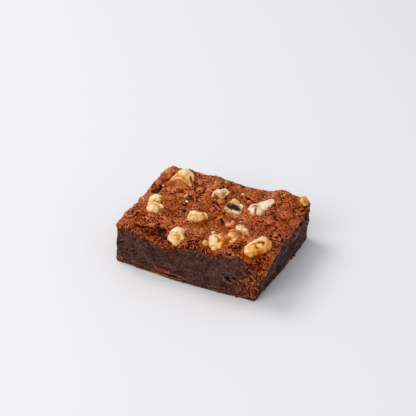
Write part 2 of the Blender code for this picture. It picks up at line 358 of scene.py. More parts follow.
crust = {
    "rings": 16,              # mesh rings down the cuts
    "thickness": 1.8,
    "lip": 0.18,              # how far the lower rim stands out over the crumb
    # height of the crust's lower rim along each cut
    "rim": {
        "front": (
            (-40, 21.2), (-37, 21.9), (-33.5, 21.9), (-29.9, 21.2), (-25.9, 19.8), (-21.9, 18.6),
            (-17.9, 17.0), (-13.4, 16.3), (-8.6, 17.2), (-5.8, 20.4), (-2.8, 22.2), (1.6, 22.8),
            (6.3, 22.3), (10.6, 21.2), (14.3, 20.8), (17.0, 22.7), (21.0, 24.0), (25.4, 23.8), (29.5, 22.6),
            (32.7, 20.0), (36, 17.0), (40, 15.4),
        ),
        "right": (
            (-32, 15.0), (-23.6, 15.6), (-17.5, 17.3), (-9.3, 19.1), (-0.9, 20.6), (6.0, 20.4),
            (11.3, 20.4), (22.9, 20.9), (32, 21.0),
        ),
        "back": (
            (-40, 20.4), (-20, 20.8), (0, 20.2), (20, 21.2), (40, 20.4),
        ),
        "left": (
            (-32, 21.0), (-12, 20.6), (8, 20.3), (32, 20.8),
        ),
    },
    "ragged": 1.3,            # unevenness of the lower rim
    "rise": 1.5,              # strength of all the lumps together
    # lumps and, where the rise is negative, hollows: x, y, reach, rise
    "lumps": (
        (-37.0, 10.8, 2.8, 1.5), (-38.6, 5.0, 1.6, 0.6), (-35.6, 6.4, 2.2, -1.4), (-34.4, 9.0, 1.5, -0.8),
        (-35.9, 14.6, 1.1, -0.9), (-25.5, 0.8, 6.5, 0.7), (-22.4, 4.6, 3.6, 0.4), (-17.2, 10.6, 3.8, 0.8),
        (-21.2, 11.4, 2.2, 0.4), (-9.8, 0.6, 3.4, 0.9), (-10.6, 12.8, 3.4, 0.6), (-18.4, 22.4, 3.4, 0.7),
        (-14.4, 16.2, 2.6, 0.5), (-8.0, 22.6, 4.0, 0.5), (1.6, 24.6, 4.0, 0.4), (3.4, 29.7, 3.0, -0.5),
        (-26.6, -17.6, 5.0, 0.5), (-33.6, -14.0, 3.6, 0.4), (-29.2, -24.6, 3.0, 0.5),
        (-22.4, -24.0, 3.2, 0.6), (-16.4, -24.6, 3.2, -1.3), (-13.8, -27.2, 2.2, -1.2),
        (-18.0, -21.0, 3.4, 0.5), (-16.9, 0.6, 2.4, -0.7), (-15.0, -3.4, 2.2, -0.6),
        (-10.2, -10.4, 2.6, -0.4), (-1.5, 10.4, 3.4, 1.5), (-2.6, 2.6, 2.2, 0.5), (12.8, 15.6, 2.4, 1.0),
        (15.2, 13.2, 2.0, 1.0), (16.8, 17.6, 1.4, -0.7), (10.6, 19.4, 1.8, -0.5), (12.4, 10.8, 2.2, 0.8),
        (24.2, 13.0, 2.0, 1.1), (25.4, 9.6, 1.8, 0.8), (26.8, 19.6, 2.4, 0.9), (22.4, 26.4, 2.4, 0.6),
        (14.6, 0.4, 2.2, -0.7), (35.2, -5.2, 1.9, 1.0), (33.3, -6.6, 1.2, -1.0), (36.9, -3.4, 1.1, -0.9),
        (33.3, -2.2, 1.1, -0.6), (22.0, -21.4, 3.4, 0.6), (26.0, -16.8, 2.6, 0.5), (-3.2, -26.6, 2.2, 0.5),
        (-1.1, -20.6, 2.6, 0.6), (5.4, -27.6, 2.2, 0.5), (-6.0, -22.8, 2.0, 0.4), (8.4, -22.4, 2.4, 0.4),
        (33.8, 11.6, 4.0, 0.4), (28.6, 2.6, 4.0, 0.4), (-39.6, -3.4, 1.8, 0.5), (-39.4, -10.4, 2.6, 0.4),
        (-39.6, -20.0, 2.4, 0.4), (-4.6, -9.6, 3.0, 0.4), (31.0, -10.4, 1.6, -0.5), (37.0, -16.0, 3.0, 0.4),
    ),
    # raised strands and, where the rise is negative, cracks: from x, y to x, y, half width, rise
    "lines": (
        (-36.8, 4.4, -34.4, 7.8, 0.8, -2.2), (-2.6, 7.2, 0.6, 5.0, 0.7, 0.7),
        (0.6, 5.0, 3.4, 2.4, 0.7, 0.7), (-3.2, 4.4, 2.0, 1.6, 0.6, 0.5),
        (-23.4, 12.6, -19.6, 10.2, 0.6, 0.6), (-20.4, 13.2, -17.0, 12.0, 0.6, 0.5),
        (-14.6, 8.6, -13.4, 5.6, 0.6, 0.5), (-34.6, -21.4, -33.7, -17.8, 0.45, -0.7),
        (33.6, -8.9, 36.8, -8.6, 0.5, -0.8), (36.8, -8.6, 39.2, -8.2, 0.5, -0.7),
        (38.3, 22.0, 39.8, 26.0, 0.5, -0.9), (39.0, 26.4, 40.4, 30.0, 0.4, -0.7),
        (9.2, 20.6, 13.0, 18.0, 0.6, -0.6), (39.4, -7.6, 39.6, -5.0, 0.6, -0.9),
        (-36.8, -24.6, -36.0, -22.6, 0.4, -0.5),
    ),
    # knobbly crumb showing through: x, y, reach, strength
    "knobbly": (
        (-19.5, -26.6, 6.0, 1.0), (-14.0, -28.0, 5.0, 1.0), (-28.0, -27.0, 5.0, 0.8),
        (-2.6, -28.0, 4.0, 0.7), (34.0, -28.0, 7.0, 0.8), (38.0, -18.0, 5.0, 0.5), (22.0, -29.0, 5.0, 0.5),
        (-36.0, -26.0, 4.0, 0.5),
    ),
    # smooth glossy swells: x, y, reach, strength
    "glossy": (
        (-24.5, -1.0, 6.0, 0.7), (-27.0, 4.0, 3.5, 0.6), (-17.0, 9.0, 4.5, 0.6), (-1.7, 10.2, 3.4, 1.0),
        (0.4, 4.6, 3.0, 0.8), (13.4, 13.8, 3.2, 0.9), (26.1, 22.9, 3.0, 0.6), (13.0, -0.6, 3.0, 0.6),
        (-21.5, 12.2, 2.6, 0.7),
    ),
    # oily amber patches beside the walnuts
    "amber": (
        (1.6, -7.6, 4.2, 0.9), (3.8, -12.6, 3.6, 0.9), (12.0, -13.0, 5.0, 0.6), (-1.0, -3.0, 4.0, 0.6),
        (-33.0, 20.0, 4.0, 0.5), (-7.0, 14.0, 3.0, 0.5), (-13.0, 2.5, 3.0, 0.4), (-7.6, 12.6, 2.4, 0.6),
        (-30.0, -2.0, 3.0, 0.4),
    ),
    # darker patches: painted shade in the hollows and on shaded slopes, partly a darker, redder tone of the
    # crust
    "darkAndShaded": (
        (-18.0, -26.0, 6.2, 1.0), (-13.6, -28.0, 4.8, 1.0), (-23.0, -28.0, 4.0, 0.6),
        (12.0, -0.4, 3.0, 0.8), (33.5, -29.0, 7.0, 0.25), (-30.0, -26.0, 6.0, 0.3), (2.0, -29.0, 8.0, 0.4),
        (38.5, -14.0, 6.0, 0.35), (-35.6, 7.0, 3.4, 0.7),
    ),
    # holes: x, y, radius, depth
    "holes": (
        (-36.3, 5.0, 1.2, 1.6), (-35.1, 6.9, 1.2, 1.6), (-37.7, -0.6, 0.9, 1.5), (-38.3, 2.3, 0.6, 1.1),
        (-37.5, -6.6, 0.7, 1.2), (-37.7, -10.7, 0.4, 0.7), (-36.6, -19.4, 0.6, 0.8), (-20.8, 8.9, 0.9, 1.4),
        (-24.1, -20.6, 0.7, 0.9), (33.1, 20.0, 0.7, 1.0), (-19.5, 5.5, 0.5, 0.7), (-11.0, 19.0, 0.7, 0.9),
        (-16.7, 19.1, 0.5, 0.7), (-12.4, 17.2, 0.5, 0.7), (-19.6, 16.7, 0.6, 0.7), (-5.7, 6.2, 0.6, 0.8),
        (-35.9, -23.4, 0.5, 0.6),
    ),
    "pits": 1150,
    "pitRadius": (0.25, 0.78),
    "pitDepth": 1.2,          # as a share of the radius
    "swellSize": 5.6,         # spacing of the domed swells, then of the crumb's knobs
    "knobSize": 1.5,
    "leastHang": 1.2,
    "footSet": 1.3,           # how far the lower rim's inner edge is set in
    "skips": 4,               # the underside takes one point in this many
    # colours from the painted shade of the hollows to the painted highlight of the crests, then those of the
    # amber patches, of the dark patches, which are partly painted shade, and of the painted shade in the
    # holes
    "baked": ((0.06, "#1A0400"), (0.26, "#5C1E02"), (0.46, "#943C04"), (0.68, "#B04A08"), (0.95, "#CA6A12")),
    "oily": "#A2500E",
    "darkAndShadedColour": "#4A1608",
    "holeShadeColour": "#1E0702",
}


def rimWalk():                # which cut each point of the outline is on, and its place along it
    flat = gridPoints(block["across"], block["deep"], block["level"])[gridRim(block["across"], block["deep"])]
    columns, rows = block["across"], block["deep"]
    side = np.repeat(["front", "right", "back", "left"], [columns, rows, columns, rows])
    along = np.where((side == "front") | (side == "back"), flat[:, 0], flat[:, 1])
    return flat, side, along


rimFlat, rimSide, rimAlong = rimWalk()


def crustHang():              # how far the crust hangs down the cuts, on the block before it is shaped
    depth = np.zeros(len(rimAlong))
    for side, stations in crust["rim"].items():
        here = rimSide == side
        top = skin(rimFlat[here] - np.array([0, 0, 0.01]))
        height = topHeight(top[:, 0], top[:, 1])
        depth[here] = block["level"] * (1 - np.interp(rimAlong[here], *zip(*stations)) / height)
    for turn in range(6):     # rounds off the steps at the corners
        depth = (np.roll(depth, 1) + depth + np.roll(depth, -1)) / 3
    rough = waves(rimFlat, 4.5, 1) * 0.7 + waves(rimFlat, 1.9, 2) * 0.7 + waves(rimFlat, 0.9, 3) * 0.5
    return np.maximum(depth + crust["ragged"] * rough, crust["leastHang"])


hangDepth = crustHang()


def patches(points, spots):
    total = np.zeros(len(points))
    for x, y, reach, strength in spots:
        away = np.hypot(points[:, 0] - x, points[:, 1] - y) / reach
        total = np.maximum(total, strength * bump(away * 0.8))
    return total


def fromLine(points, x0, y0, x1, y1):    # how far each point is from a line, seen from above
    start, run = np.array([x0, y0]), np.array([x1 - x0, y1 - y0])
    share = np.clip((points[:, :2] - start) @ run / max(run @ run, 1e-9), 0, 1)
    return np.linalg.norm(points[:, :2] - start - share[:, None] * run, axis=1)


def heave(points):            # the lumps, hollows, strands and cracks of the crust
    ragged = 1 + 0.45 * waves(points, 2.6, 14) + 0.2 * waves(points, 1.0, 15)
    total = np.zeros(len(points))
    for x, y, reach, rise in crust["lumps"]:
        total += crust["rise"] * rise * bump(np.hypot(points[:, 0] - x, points[:, 1] - y) / reach * ragged)
    for *ends, width, rise in crust["lines"]:
        total += rise * bump(fromLine(points, *ends) / width * 0.6 * ragged)
    return total


def besideWalnuts(points):    # how near a walnut piece a point is, and how deep it lies inside one
    near = np.full(len(points), 9.0)
    under = np.zeros(len(points))
    for name in walnutNames:
        low, high = walnutBoxes[name]
        close = np.all((points > low - 2.5) & (points < high + 2.5), axis=1)
        for index in np.nonzero(close)[0]:
            point = Vector(points[index])
            away = walnutTrees[name].find_nearest(point)[3]
            near[index] = min(near[index], away)
            top = rayDown(walnutTrees[name], point.x, point.y)
            if not math.isnan(top) and top > point.z:
                under[index] = max(under[index], min(top - point.z, away * 1.5))
    return near, under


def digHoles(points, holes):  # depth taken away at each point by ragged holes: middle, radius, depth
    tree = KDTree(len(points))
    for index, point in enumerate(points.tolist()):
        tree.insert(point, index)
    tree.balance()
    ragged = 1 + 0.45 * waves(points, 0.9, 13)
    depth = np.zeros(len(points))
    shade = np.zeros(len(points))
    for middle, radius, deep in holes:
        for _, index, away in tree.find_range(middle, radius * 1.3):
            share = away / radius * ragged[index]
            if share < 1:
                depth[index] = max(depth[index], deep * float(smooth(1.5 - 1.5 * share)))
                shade[index] = max(shade[index], 1 - share)
    return depth, shade


def scatter(points, chance, wanted, radii, slope, deep):  # holes at chosen points, most of them small
    chosen = random.choice(len(points), wanted, replace=False, p=chance / chance.sum())
    least, most = radii
    sizes = least + (most - least) * random.random(wanted) ** slope
    return [(points[i], size, size * deep) for i, size in zip(chosen, sizes)]


def crustRelief(points, normals, quads, rimShare):
    glossy, amber, darkAndShaded = [patches(points, crust[n]) for n in ("glossy", "amber", "darkAndShaded")]
    knobbly = np.maximum(patches(points, crust["knobbly"]), 0.8 * smooth(rimShare * 2 - 0.3))
    stirred = stir(points, 3.0, 1.3, 1)
    rough = (0.25 + 0.75 * smooth(0.5 + 1.8 * waves(points, 7.0, 4))) * (1 - 0.75 * glossy)
    # swells with creases between them
    domes, gaps, own = cells(stir(points, 5.0, 2.2, 3), crust["swellSize"], 1)
    crease = smooth(1 - gaps / 0.22) * smooth(0.1 + 1.6 * waves(points, 8.0, 18))
    relief = heave(points) + 0.75 * waves(stirred, 7.5, 5) + (1 - 0.5 * glossy) * 0.95 * domes * (own - 0.1)
    relief -= 0.25 * crease
    # papery wrinkles
    folded = stir(stirred, 1.6, 0.7, 8)
    wrinkle = 1 - 3.2 * np.abs(waves(folded, 2.3, 9))
    fineWrinkle = 1 - 3.2 * np.abs(waves(folded, 1.2, 16))
    relief += rough * (0.15 * wrinkle + 0.13 * fineWrinkle) + (0.06 + 0.12 * rough) * waves(points, 0.75, 7)
    knobs, _, knobOwn = cells(stir(points, 1.6, 0.6, 2), crust["knobSize"], 2)
    relief += knobbly * (0.42 * knobs * (0.25 + knobOwn) - 0.21)
    chance = np.clip(0.2 + 1.3 * waves(points, 5.0, 8), 0.04, 1) * (normals[:, 2] > 0.3) * (1 - 0.8 * glossy)
    holes = scatter(points, chance, crust["pits"], crust["pitRadius"], 1.7, crust["pitDepth"])
    for x, y, radius, deep in crust["holes"]:
        z = float(topHeight(np.array([x]), np.array([y]))[0])
        holes.append((Vector((x, y, z)), radius, deep))
    depth, shade = digHoles(points, holes)
    near, under = besideWalnuts(points)
    lip = bump(np.abs(near - 0.35) / 1.5)
    swollen = 0.85 * lip * smooth(0.55 + 1.4 * waves(points, 2.4, 17)) * (under < 0.9)
    relief = relief * (1 - 0.3 * lip) + swollen
    relief -= 1.3 * smooth(under / 1.1) + depth * (1 - smooth(1.2 - near / 1.2))
    hollow = relief - blur(relief, quads, 7)
    wide = relief - blur(relief, quads, 70)
    clear = 1 - 0.6 * lip     # the lips beside the walnuts are shaded less
    # the colour level: painted shade in the hollows, creases and right beside the walnuts, painted highlight
    # on the crests, and tone that differs at random
    toneAndShade = 0.54 + 1.45 * hollow * clear + 0.46 * wide * clear + 0.26 * waves(points, 9.0, 10)
    toneAndShade += 0.26 * waves(points, 0.65, 11) * (0.5 + 0.5 * rough) + 0.36 * knobbly * (knobOwn - 0.5)
    toneAndShade -= 0.24 * smooth(-wide / 0.8) + 0.05 * crease + 0.26 * bump(near / 1.3)
    relief = mix(relief, np.maximum(relief, -0.3) * 0.7 + crust["lip"], smooth(rimShare * 2 - 0.6))
    relief -= 0.85 * smooth(rimShare * 4 - 3)
    amber = np.maximum(amber, 0.15 * bump(near / 2.2))
    # the holes' mark is painted shade, strongest in the middle of each hole
    marks = {"toneAndShade": np.clip(toneAndShade - 0.42 * darkAndShaded, 0, 1), "holeShade": np.clip(0.85 * shade, 0, 1),
             "gloss": glossy, "amber": amber, "darkAndShaded": 0.5 * darkAndShaded}
    return relief, marks


def crustMaterial():
    # baked brownie crust, dry and papery: reddish brown skin, with a painted highlight on every crest and
    # painted shade, near black, in the hollows and holes
    made, tree, shader = newMaterial("bakedCrust")
    place = addNode(tree, "NewGeometry").outputs["Position"]
    toneAndShade, holeShade, gloss, amber, darkAndShaded = nodeMarks(tree, "toneAndShade", "holeShade", "gloss", "amber", "darkAndShaded")
    grain = nodeRange(tree, nodeNoise(tree, place, 0.6, 4.0, 0.6), (0.25, 0.75), (-0.40, 0.40), clamp=False)
    # painted shade in small pores that the mesh is too coarse to hold
    pores = addNode(tree, "TexVoronoi", {"Scale": 1 / (1.3 * mm)}, {"Vector": place}).outputs["Distance"]
    poreShade = nodeRange(tree, pores, (0.16, 0.36), (0.44, 0.0))
    whole = nodeMath(tree, "SUBTRACT", nodeMath(tree, "ADD", toneAndShade, grain), poreShade)
    oily = nodeTint(tree, amber, nodeRamp(tree, whole, crust["baked"]), crust["oily"])
    # darkens the dark patches: partly painted shade, partly a darker tone
    darkenedAndShaded = nodeTint(tree, darkAndShaded, oily, crust["darkAndShadedColour"])
    # painted shade in the holes, near black
    colour = nodeTint(tree, nodeTimes(tree, holeShade, 0.8), darkenedAndShaded, crust["holeShadeColour"])
    sheen = nodeRange(tree, gloss, (0.0, 1.0), (0.30, 0.17))
    crest = nodeRange(tree, whole, (0.42, 0.85), (0.03, 0.75))
    wrinkled = nodeBump(tree, nodeNoise(tree, place, 1.1, 3.0, 0.45), 0.8, 0.42)
    finishShader(tree, shader, 1.45, colour, sheen, crest, wrinkled)
    return made


def makeCrust():
    columns, rows = block["across"], block["deep"]
    flat = [gridPoints(columns, rows, block["level"])]
    rim = gridRim(columns, rows)
    quads = [gridFaces(columns, rows, 0)]
    share = [np.zeros(len(flat[0]))]
    upper = rim
    for ring in range(1, crust["rings"] + 1):
        part = ring / crust["rings"]
        lower = len(flat[0]) + (ring - 1) * len(rim) + np.arange(len(rim))
        flat.append(rimFlat - np.outer(part * hangDepth, [0, 0, 1]))
        share.append(np.full(len(rim), part))
        quads.append(bandFaces(upper, lower))
        upper = lower
    flat, share, quads = np.concatenate(flat), np.concatenate(share), np.concatenate(quads)
    points = skin(flat)
    normals = normalsOf(points, quads)
    relief, marks = crustRelief(points, normals, quads, share)
    outer = points + normals * relief[:, None]
    # underside: a coarse copy, set in by the thickness
    few = crust["skips"]
    index = np.arange((columns + 1) * (rows + 1)).reshape(rows + 1, columns + 1)[::few, ::few].ravel()
    ends = upper[::few]
    kept = np.concatenate([index, ends])
    start = len(outer)
    sunk = blur(relief, quads, 10) - crust["thickness"]
    sunk[ends] = -crust["footSet"]
    inner = points[kept] + normals[kept] * sunk[kept][:, None]
    under = gridFaces(columns // few, rows // few, start)[:, ::-1]
    innerRim = gridRim(columns // few, rows // few, start)
    innerEnd = start + len(index) + np.arange(len(ends))
    faces = [quads, seamFaces(upper, innerEnd), bandFaces(innerEnd, innerRim), under]
    values = {n: np.concatenate([v, v[kept]]) for n, v in marks.items()}
    return makePiece("crust", np.concatenate([outer, inner]), faces, values, crustMaterial())


crustPiece = makeCrust()
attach(crustPiece, "root")
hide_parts("cake")
print("crust made:", len(crustPiece.data.polygons), "faces")


crumb = {
    "rings": 78,
    "inset": 1.5,             # how far the crumb lies below the crust
    # dents, and flakes where the depth is negative: cut, place along it, height, half length, half height,
    # turn in degrees, depth
    "dents": (
        ("front", 20.6, 11.8, 2.4, 1.3, 20, 0.5), ("front", 23.6, 11.2, 2.2, 1.4, -30, 0.5),
        ("front", 21.5, 9.7, 1.9, 1.4, -50, 1.7), ("front", 22.9, 8.5, 1.2, 0.8, 20, 1.2),
        ("front", 24.6, 10.6, 1.2, 0.7, -40, 0.9), ("front", 26.4, 7.8, 2.2, 0.3, -50, 0.8),
        ("front", 29.3, 4.9, 0.6, 0.4, 0, -0.35), ("front", 4.6, 19.4, 2.6, 0.28, 62, 0.45),
        ("front", 6.5, 18.4, 2.8, 0.3, 62, 0.5), ("front", 8.0, 17.0, 1.6, 0.25, 66, 0.4),
        ("front", 21.6, 23.9, 4.6, 0.5, 6, 1.5), ("front", -8.6, 2.1, 5.6, 0.75, 4, 1.9),
        ("front", -15.8, 1.4, 2.4, 0.5, -4, 1.2), ("front", -23.0, 1.5, 4.0, 0.35, -4, 0.9),
        ("front", 14.6, 2.0, 4.8, 0.4, 8, 1.0), ("front", 3.4, 1.4, 4.6, 0.35, -2, 1.0),
        ("front", 24.6, 1.5, 3.4, 0.35, 3, 0.9), ("front", -31.0, 1.8, 2.4, 0.3, 4, 0.7),
        ("front", -13.0, 4.0, 4.2, 0.9, -4, -0.5), ("front", -3.0, 3.2, 3.0, 0.6, -14, -0.35),
        ("front", -37.4, 4.4, 2.6, 0.5, -8, 1.3), ("front", -38.4, 2.4, 2.4, 1.0, 0, -0.25),
        ("front", -33.6, 9.1, 1.2, 0.7, 0, 1.1), ("front", -31.4, 8.6, 1.6, 0.5, 0, 1.0),
        ("front", -29.8, 10.0, 0.7, 0.6, 0, 0.8), ("front", -35.4, 13.6, 1.8, 0.4, 30, 0.7),
        ("front", -39.0, 19.2, 1.6, 0.5, 0, 0.8), ("front", 32.4, 4.3, 1.0, 0.8, 0, 0.9),
        ("front", 30.4, 7.6, 0.8, 1.2, 20, 0.7), ("front", 27.6, 7.4, 1.6, 0.35, -50, -0.35),
        ("front", 33.4, 13.0, 0.6, 1.6, 30, 0.6), ("front", -25.2, 6.5, 0.8, 0.4, 30, 0.5),
        ("right", 13.6, 17.8, 5.0, 2.2, -6, 2.8), ("right", 19.0, 17.0, 2.8, 1.9, -8, 2.4),
        ("right", 26.8, 16.8, 2.8, 3.4, -10, 3.0), ("right", 22.1, 11.0, 0.9, 1.6, 0, 1.0),
        ("right", 24.0, 14.6, 2.6, 0.5, 30, 1.0), ("right", 8.4, 13.6, 3.0, 0.4, 10, 0.8),
        ("right", -14.0, 12.0, 3.4, 0.4, 8, 0.8), ("right", -2.0, 7.4, 3.6, 0.4, 4, 0.8),
        ("right", -2.8, 19.6, 3.4, 0.9, 4, 1.2), ("right", -8.8, 18.0, 1.8, 0.9, 0, 0.9),
        ("right", 4.0, 17.6, 4.0, 0.4, 6, 0.9), ("right", -20.4, 11.2, 2.2, 0.35, 12, -0.3),
        ("right", 11.6, 14.4, 6.0, 1.2, 4, -0.35), ("right", -20.0, 3.0, 3.6, 1.2, 0, 0.5),
        ("left", 10.0, 12.0, 2.2, 0.8, 20, 1.0), ("left", -14.0, 7.0, 1.6, 0.7, -30, 0.9),
        ("left", 22.0, 5.0, 3.0, 0.4, 5, 0.8), ("left", -2.0, 2.0, 5.0, 0.4, -3, 1.0),
        ("back", -18.0, 14.0, 2.4, 0.7, -15, 1.0), ("back", 6.0, 8.0, 1.4, 1.0, 40, 1.1),
        ("back", 24.0, 11.0, 2.6, 0.4, 10, 0.9), ("back", -4.0, 2.6, 5.0, 0.4, 2, 1.1),
    ),
    "pores": 300,
    "poreRadius": (0.16, 0.45),
    "poreDepth": 1.1,         # as a share of the radius
    "leans": (38, -46),       # slant of the knife's two sets of smears on the front, in degrees
    "grainyFrom": 28.3,       # place along the front cut from which the crumb is torn and grainy
    "grainSize": 1.0,
    "tuck": 0.55,             # how far the crumb is drawn in right below the crust's rim
    "lidSkips": 4,            # the hidden lid and the base take one point in this many
    "baseSkips": 3,
    # colours of the crumb from dark to light, painted shade in the hollows to painted highlight on the bumps,
    # of its reddish grains, then of the smears and of the painted shade in the pits
    "dense": ((0.12, "#120502"), (0.38, "#33160D"), (0.60, "#502A1E"), (0.85, "#7C4A36")),
    "rusty": ((0.20, "#35100A"), (0.50, "#7C3516"), (0.80, "#B86432")),
    "smearSheenColour": "#4A332B",
    "holeShadeColour": "#120503",
}


def crumbRelief(points, quads, side, along, height, below):
    onFront, onRight = side == "front", side == "right"
    spot = np.where(onFront | (side == "back"), points[:, 0], points[:, 1])
    # the knife's smears slant both ways on the front and run nearly level on the right: broad ones here, and
    # fine ones that the material draws from the places along and across each slant
    smear = np.zeros(len(points))
    drawn = {}
    for number, lean in enumerate(crumb["leans"]):
        slant = np.radians(np.where(onRight, 4 + 7 * number, lean) + 2 * waves(points, 14.0, 21 + number))
        lengthwise = along * np.cos(slant) + height * np.sin(slant)
        crosswise = -along * np.sin(slant) + height * np.cos(slant)
        streak = np.stack([lengthwise / np.where(onRight, 6.0, 3.2), crosswise / 0.9, points[:, 1] * 0.02], 1)
        smear += waves(streak, 1.0, 24 + number) * smooth(0.3 + 1.8 * waves(points, 5.0, 60 + number))
        drawn.update({f"along{number}": lengthwise, f"across{number}": crosswise})
    drawn["turned"] = smooth(0.5 + 3.0 * waves(points, 8.0, 62))
    stirred = stir(points, 2.5, 0.8, 7)
    mottle = waves(stirred, 2.1, 25)
    relief = np.where(onRight, 0.34, 0.06) * smear + 0.10 * mottle + 0.42 * waves(points, 7.0, 35)
    relief += 0.20 * waves(stirred, 3.4, 39) + 0.11 * waves(points, 0.85, 26)
    # the upright edges are worn uneven
    fromEnd, fromSide = block["halfX"] - np.abs(points[:, 0]), block["halfY"] - np.abs(points[:, 1])
    corner = bump(np.hypot(fromEnd, fromSide) / 7.0)
    relief += corner * (0.75 * waves(points, 3.6, 71) + 0.35 * waves(points, 1.3, 72) - 0.15)
    # grainy crumb at the right end of the front, along the foot and under the crust
    edge = smooth((along - crumb["grainyFrom"] + 2.2 * waves(points, 3.0, 27)) / 2.2) * onFront
    foot = smooth(1.6 - height / np.maximum(1.0 + 1.1 * waves(points, 4.0, 28), 0.3))
    grainy = np.maximum(edge, 0.9 * foot)
    under = smooth(1 - below / (2.4 + 1.6 * waves(points, 4.0, 29)))
    grainy = np.maximum(grainy, np.where(onRight, 0.35, 0.75) * under)
    domes, _, own = cells(stir(points, 1.2, 0.4, 3), crumb["grainSize"], 3)
    relief += grainy * (0.38 * domes * (0.3 + own) - 0.16)
    ragged = 1 + 0.5 * waves(points, 1.7, 30) + 0.4 * waves(points, 0.8, 36)
    crumbled = 0.3 * waves(points, 1.1, 73)
    dents = np.zeros(len(points))
    flakes = np.zeros(len(points))
    for cut, where, level, halfLong, halfHigh, turn, deep in crumb["dents"]:
        aside, above = spot - where, points[:, 2] - level
        c, s = math.cos(math.radians(turn)), math.sin(math.radians(turn))
        lengthwise, crosswise = (aside * c + above * s) / halfLong, (above * c - aside * s) / halfHigh
        away = np.hypot(lengthwise, crosswise) * ragged + crumbled
        shape = smooth((1.2 - away) * 1.8) * (side == cut)
        dents = np.maximum(dents, deep * shape)
        flakes = np.maximum(flakes, -deep * shape)
    chance = np.clip(0.3 + waves(points, 6.0, 31), 0.02, 1) * (height > 1.0)
    pores = scatter(points, chance, crumb["pores"], crumb["poreRadius"], 2, crumb["poreDepth"])
    depth, shade = digHoles(points, pores)
    relief += flakes - dents - depth
    hollow = relief - blur(relief, quads, 8)
    # the knife's smears are paler and greyer, partly a painted sheen
    smearAndSheen = smooth(0.42 + 0.8 * mottle + 0.7 * smear + 0.7 * waves(points, 7.0, 32)) * (1 - grainy)
    smearAndSheen = np.where(onRight, 0.4 * smearAndSheen, smearAndSheen)
    reddish = grainy * (0.42 + 0.4 * own + 0.3 * waves(points, 0.7, 75))
    reddish = np.maximum(reddish, np.clip(flakes * 2, 0, 0.9))
    reddish = np.maximum(reddish, 0.75 * smooth((0.9 - points[:, 2]) / 0.5))
    speck, _, lot = cells(points, 1.3, 4)
    often = smooth(0.2 + 1.5 * waves(points, 8.0, 37))
    reddish = np.maximum(reddish, 0.9 * (lot > 0.88 - 0.12 * often) * smooth(speck * 2.2 - 1.2))
    streaky = smooth(2.4 * waves(np.stack([along / 3.4, height, 0 * along], 1), 0.9, 38) - 1.0) * onRight
    reddish = np.maximum(reddish, streaky)
    # the colour level: painted shade in the hollows and painted highlight on the bumps, with the knife's
    # smears and tone that differs at random
    toneAndShade = 0.47 + 1.2 * hollow + np.where(onRight, 0.32, 0.15) * smear + 0.16 * waves(points, 0.7, 33)
    crumbly = grainy * (0.36 * (own - 0.5) + 0.2 * waves(points, 1.6, 74) - 0.05)
    toneAndShade += (0.22 * streaky + crumbly + 0.14 * waves(points, 4.0, 40)
             + 0.22 * onRight * waves(points, 2.2, 41) - 0.09 * onRight)
    # painted shade in the dents and pores, left out on the raised flakes
    holeShade = np.clip(np.maximum(shade, dents / 1.9) * (1 - 2.5 * flakes), 0, 1)
    drag = np.where(onRight, 0.85, 0.25 * (1 - grainy) + 0.75 * smearAndSheen)
    marks = {"toneAndShade": np.clip(toneAndShade, 0, 1), "holeShade": holeShade, "smearAndSheen": smearAndSheen, "red": reddish, "drag": drag, **drawn}
    return relief, marks


def crumbMaterial():
    # fudgy brownie crumb, cut with a knife: dense and near black brown, greyer where the blade smeared it, a
    # grey that is partly a painted sheen, with painted shade in its hollows, dents and pores
    made, tree, shader = newMaterial("cutCrumb")
    place = addNode(tree, "NewGeometry").outputs["Position"]
    toneAndShade, holeShade, smearAndSheen, red, turned, share = nodeMarks(tree, "toneAndShade", "holeShade", "smearAndSheen", "red", "turned", "drag")
    grain = nodeNoise(tree, place, 0.6, 4.0, 0.65)
    streaks = []
    for number in "01":
        along, across = nodeMarks(tree, "along" + number, "across" + number)
        where = addNode(tree, "CombineXYZ", {}, {"X": along, "Y": across}).outputs[0]
        drawn = addNode(tree, "Mapping", {"Scale": (1 / 2.6, 1 / 0.5, 1.0)}, {"Vector": where}).outputs[0]
        streak = addNode(tree, "TexNoise", {"Scale": 1.0, "Detail": 3.0}, {"Vector": drawn})
        streaks.append(streak.outputs["Fac"])
    smears = addNode(tree, "Mix", {}, {0: turned, 2: streaks[0], 3: streaks[1]}).outputs[0]
    drag = nodeRange(tree, smears, (0.3, 0.7), (-0.26, 0.26), clamp=False)
    dragged = nodeMath(tree, "MULTIPLY", drag, share)
    whole = nodeMath(tree, "ADD", nodeMath(tree, "ADD", toneAndShade, dragged), nodeTimes(tree, grain, 1.1))
    level = addNode(tree, "Math", {1: 0.55}, {0: whole}, operation="SUBTRACT").outputs[0]
    dense, rusty = nodeRamp(tree, level, crumb["dense"]), nodeRamp(tree, level, crumb["rusty"])
    # grey of the smears, partly a painted sheen
    smearSheenColour = nodeTint(tree, nodeTimes(tree, smearAndSheen, 0.55), dense, crumb["smearSheenColour"])
    mixed = addNode(tree, "Mix", {}, {0: red, 6: smearSheenColour, 7: rusty}, data_type="RGBA").outputs[2]
    colour = nodeTint(tree, holeShade, mixed, crumb["holeShadeColour"])
    sheen = nodeRange(tree, smearAndSheen, (0.0, 1.0), (0.60, 0.42))
    crest = nodeRange(tree, level, (0.35, 0.75), (0.06, 0.40))
    fine = nodeNoise(tree, place, 0.3, 5.0, 0.65)
    both = addNode(tree, "Math", {1: 3.0}, {0: dragged, 2: fine}, operation="MULTIPLY_ADD").outputs[0]
    scored = nodeBump(tree, both, 0.45, 0.12)
    finishShader(tree, shader, 1.45, colour, sheen, crest, scored)
    return made


